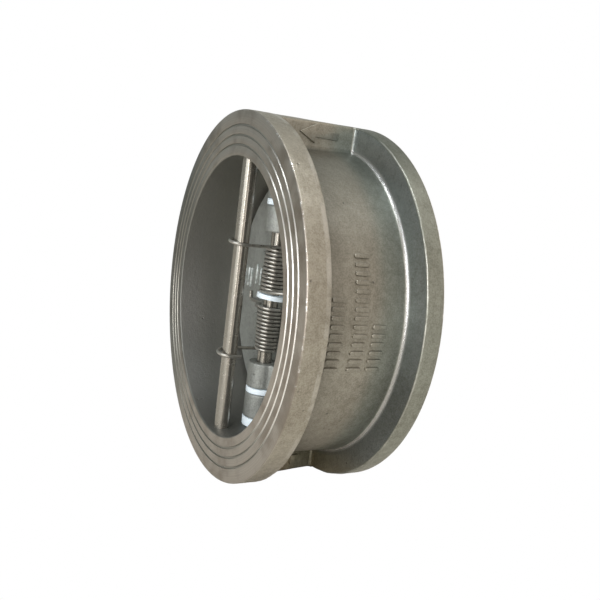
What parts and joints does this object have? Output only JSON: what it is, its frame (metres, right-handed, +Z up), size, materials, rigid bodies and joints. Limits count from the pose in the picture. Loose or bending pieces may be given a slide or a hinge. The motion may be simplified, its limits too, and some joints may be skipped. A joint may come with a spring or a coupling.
{
  "type": "wafer check valve",
  "caption": "Flangeless cast wafer check valve whose half-disc plates swing on an upright pin and are closed by torsion springs.",
  "frame": {"origin": "on the flow axis, midway between the two sealing faces", "axes": "+Y along the flow axis from the outlet face to the inlet face, so flow runs towards -Y; +Z up along the hinge pin; +X to the right when looking into the outlet"},
  "size_m": [0.192, 0.07, 0.192],
  "materials": {
    "cast_body": "blasted stainless casting, satin, with turned sealing faces",
    "cast_plate": "dull blasted stainless casting",
    "seat_rubber": "matt moulded rubber",
    "pin_steel": "ground and polished bar",
    "spring_wire": "bright drawn spring wire",
    "white_ptfe": "turned white fluoropolymer, satin",
    "plug_steel": "dull machined steel"
  },
  "bodies": {
    "body": {"valve_body": "cast_body", "seat_seal": "seat_rubber", "hinge_pin": "pin_steel", "stop_pin": "pin_steel", "upper_spring": "spring_wire", "lower_spring": "spring_wire", "top_end_bush": "white_ptfe", "upper_lug_washer": "white_ptfe", "spring_washer": "white_ptfe", "lower_lug_washer": "white_ptfe", "bottom_end_bush": "white_ptfe", "top_hinge_plug": "plug_steel", "bottom_hinge_plug": "plug_steel", "top_stop_plug": "plug_steel", "bottom_stop_plug": "plug_steel"},
    "left_door": {"left_plate": "cast_plate"},
    "right_door": {"right_plate": "cast_plate"}
  },
  "joints": [
    {"name": "left_plate_hinge", "type": "hinge", "parent": "body", "child": "left_door", "pos_m": [0, -0.0063, 0], "axis": [0, 0, 1], "range_deg": [0, 80], "stiffness_Nm_per_rad": 0.25, "springref_deg": -74.48, "deforming": ["lower_spring"]},
    {"name": "right_plate_hinge", "type": "hinge", "parent": "body", "child": "right_door", "pos_m": [0, -0.0063, 0], "axis": [0, 0, -1], "range_deg": [0, 80], "stiffness_Nm_per_rad": 0.25, "springref_deg": -74.48, "deforming": ["upper_spring"]}
  ]
}
